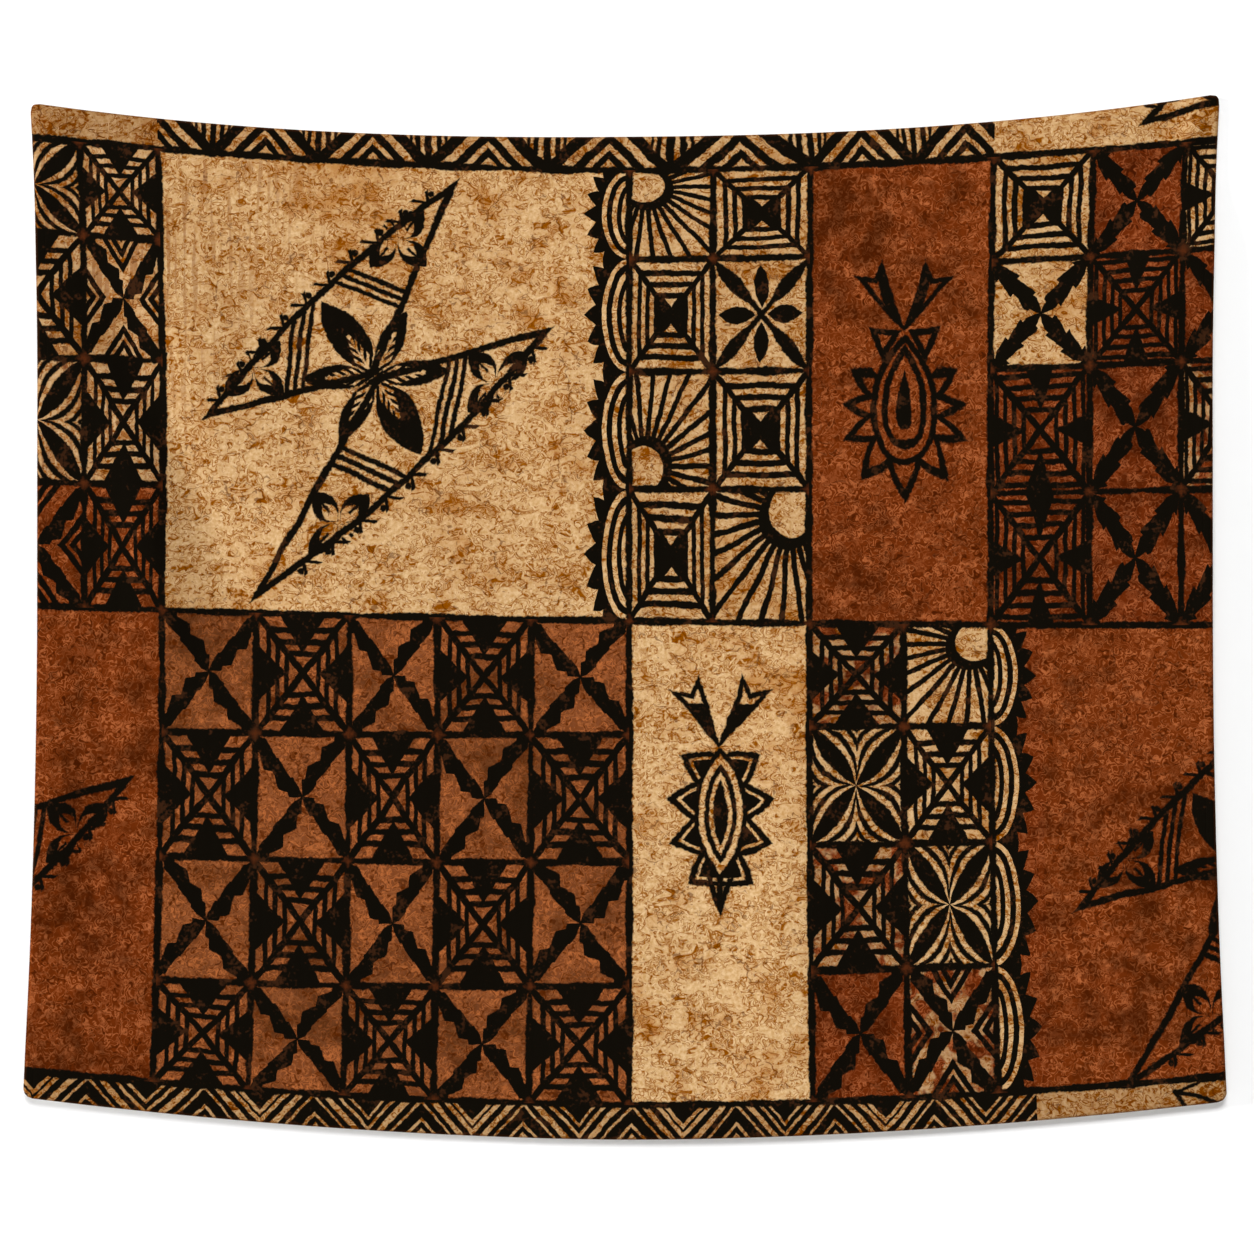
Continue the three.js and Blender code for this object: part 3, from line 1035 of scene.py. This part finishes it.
    # each dye starts from one colour, and the others lie over it by their shares; the rust is brushed on,
    # with pale squiggles, soft dark stains and cracks, and the black is rubbed to brown in places
    rustDark = larger(larger(crack, speck) * look["rustCrack"], fibre * look["rustFibre"],
                      shade * look["rustShade"])
    coats = {
        "cream": [(pulp, "creamLight"), (stained, "stain"),
                  (larger(squiggles, streak * look["streak"]), "fibre"),
                  (larger(crack * look["crack"], speck * look["speck"]), "crack")],
        "rust": [(ridge * (beaten * look["rustBeaten"] + look["rustRidge"]), "rustLight"),
                 (rustDark, "rustDark")],
        "black": [(rubbed, "worn"), (smudge * look["smudge"], "smudge")],
    }
    dyes = {}
    for dye, layers in coats.items():
        colour = linear(inks[dye])
        for share, name in layers:
            mixed = {0: share, 6: colour, 7: linear(inks[name])}
            colour = addNode(tree, "ShaderNodeMix", mixed, data_type="RGBA").outputs[2]
        dyes[dye] = colour

    # dull and patchy grounds show both colours, and a scallop is cream inside its arcs on any ground
    dyed = ramp(ground - 0.5 + (wear - 0.5) * 0.8, 9.0, 0.5)
    dyed = larger(dyed, ground * 0.7)
    dyed = dyed - larger(tone - 1.0, 0.0) * 0.8  # pulp shows where the print is light
    if "scallop" in group["motifs"]:
        inScallop = reckon("COMPARE", code, float(motifs["scallop"]), 0.5)
        dyed = dyed * (1 - inScallop * above(1.0, scallopReach(p, q)))
    mixed = {0: dyed, 6: dyes["cream"], 7: dyes["rust"]}
    colour = addNode(tree, "ShaderNodeMix", mixed, data_type="RGBA").outputs[2]

    # a darker print is a redder one, and stains on the cream are richer in colour than the pulp
    rich = (0.2 - tone * 0.2 + larger(stained, squiggles) * 0.14) * (1 - dyed) + 1.0
    toned = {"Hue": tone * 0.022 + 0.478, "Saturation": rich, "Value": tone, "Color": colour}
    colour = addNode(tree, "ShaderNodeHueSaturation", toned).outputs[0]

    # black over the ground, painted shade that darkens the last few millimetres towards the turned edge,
    # and an unprinted back that lets the print show faintly
    # painted shade: towards the cloth's edge the colour is mixed with the crack brown, as if the turned
    # hem lay in shade
    edge = ramp(fromEdge, -300.0, 1.0) * look["edge"]
    for share, over in ((ink, dyes["black"]), (edge, linear(inks["crack"])),
                        (back * look["back"], linear(inks["back"]))):
        mixed = {0: share, 6: colour, 7: over}
        colour = addNode(tree, "ShaderNodeMix", mixed, data_type="RGBA").outputs[2]

    # threads across and down, and the sewn line of the hem
    weave = {"Vector": spot, "Scale": 1000 / look["weaveMm"] / look["wavesPerUnit"], "Distortion": 0.0}
    across, down = (Sum(addNode(tree, "ShaderNodeTexWave", weave, bands_direction=way).outputs["Fac"])
                    for way in "XZ")
    seam = ramp(abs(fromEdge - cloth["hemWidth"]), -700.0, 1.0)
    bump = addNode(tree, "ShaderNodeBump", {
        "Strength": look["bump"], "Distance": look["bumpDeep"], "Height": (across + down) * 0.5 - seam})
    shader = addNode(tree, "ShaderNodeBsdfPrincipled", {
        "Base Color": colour, "Roughness": look["rough"], "Specular IOR Level": 0.0,
        "Normal": bump.outputs[0]})
    addNode(tree, "ShaderNodeOutputMaterial", {"Surface": shader.outputs[0]})
    print(group["name"], "in", len(tree.nodes), "nodes")
    return material


# Where the photograph was taken from, in its own frame of 1254 by 1254 pixels
photo = {"pixels": 1254, "mmPerPixel": 1.268, "middleX": 625, "topEdgeY": 137,
         "distance": 5.0, "sensor": 36.0}

stage = {"floorHeight": -1.95, "wallGap": 0.003, "size": 9.0, "white": "#F4F4F4", "skyLight": 0.12}


def aimCamera():
    data = bpy.data.cameras.new("camera")
    data.sensor_width = photo["sensor"]
    frameWidth = photo["pixels"] * photo["mmPerPixel"] / 1000
    data.lens = photo["sensor"] * photo["distance"] / frameWidth
    camera = bpy.data.objects.new("camera", data)
    middle = photo["pixels"] / 2
    x = (middle - photo["middleX"]) * photo["mmPerPixel"] / 1000
    z = (photo["topEdgeY"] - middle) * photo["mmPerPixel"] / 1000
    camera.location = (x, -photo["distance"], z)
    camera.rotation_euler = (math.pi / 2, 0, 0)
    bpy.context.collection.objects.link(camera)
    bpy.context.scene.camera = camera


# Matte white paint that is clear from behind, so the wall never hides the cloth's back
def whitePaint():
    material = bpy.data.materials.new("matte_white_paint")
    material.use_nodes = True
    tree = material.node_tree
    tree.nodes.clear()
    paint = addNode(tree, "ShaderNodeBsdfDiffuse", {"Color": linear(stage["white"])})
    clear = addNode(tree, "ShaderNodeBsdfTransparent")
    behind = addNode(tree, "ShaderNodeNewGeometry").outputs["Backfacing"]
    mixed = addNode(tree, "ShaderNodeMixShader", {0: behind, 1: paint.outputs[0], 2: clear.outputs[0]})
    addNode(tree, "ShaderNodeOutputMaterial", {"Surface": mixed.outputs[0]})
    return material


def setStage():
    paint = whitePaint()
    for name, place, turn in (("floor", (0, 0, stage["floorHeight"]), (0, 0, 0)),
                              ("wall", (0, stage["wallGap"], 0), (math.pi / 2, 0, 0))):
        bm = bmesh.new()
        bmesh.ops.create_grid(bm, x_segments=1, y_segments=1, size=stage["size"] / 2)
        mesh = bpy.data.meshes.new(name)
        bm.to_mesh(mesh)
        bm.free()
        mesh.materials.append(paint)
        piece = bpy.data.objects.new(name, mesh)
        piece.location = place
        piece.rotation_euler = turn
        bpy.context.collection.objects.link(piece)
        solid = name == "floor"  # light from behind passes the wall
        piece.visible_shadow = solid
        piece.visible_diffuse = solid


# A low sun rakes over the folds from the left, a wide soft box above throws the shadow under the hem,
# and a weak fill behind the wall shows the back
lamps = [
    {"name": "rake", "kind": "SUN", "place": (-7.5, -2.0, 0.6), "spread": 12, "strength": 4.0},
    {"name": "soft_box", "kind": "AREA", "place": (0.0, -8.0, 5.6), "spread": 4.5, "strength": 935},
    {"name": "back_fill", "kind": "AREA", "place": (1.5, 6.5, 2.5), "spread": 3.0, "strength": 160},
]


def setLight():
    world = bpy.data.worlds.new("studio")
    world.use_nodes = True
    background = world.node_tree.nodes["Background"]
    background.inputs["Color"].default_value = (1, 1, 1, 1)
    background.inputs["Strength"].default_value = stage["skyLight"]
    bpy.context.scene.world = world
    for lamp in lamps:
        data = bpy.data.lights.new(lamp["name"], lamp["kind"])
        data.energy = lamp["strength"]
        if lamp["kind"] == "SUN":
            data.angle = math.radians(lamp["spread"])
        else:
            data.size = lamp["spread"]
        light = bpy.data.objects.new(lamp["name"], data)
        light.location = lamp["place"]
        toCloth = bpy.data.objects["camera"].location.copy()
        toCloth.y = 0
        light.rotation_euler = (toCloth - light.location).to_track_quat("-Z", "Y").to_euler()
        bpy.context.collection.objects.link(light)
    bpy.context.scene.view_settings.view_transform = "Standard"


aimCamera()
print("camera set")

sheet = bpy.data.objects.new("tapestry_sheet", buildCloth())
bpy.context.collection.objects.link(sheet)
for group in printGroups:
    sheet.data.materials.append(printedPolyester(group))
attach(sheet, "root")
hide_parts("tapestry_cloth")
print("cloth hung:", len(sheet.data.polygons), "faces")

setStage()
setLight()
print("stage and light set")
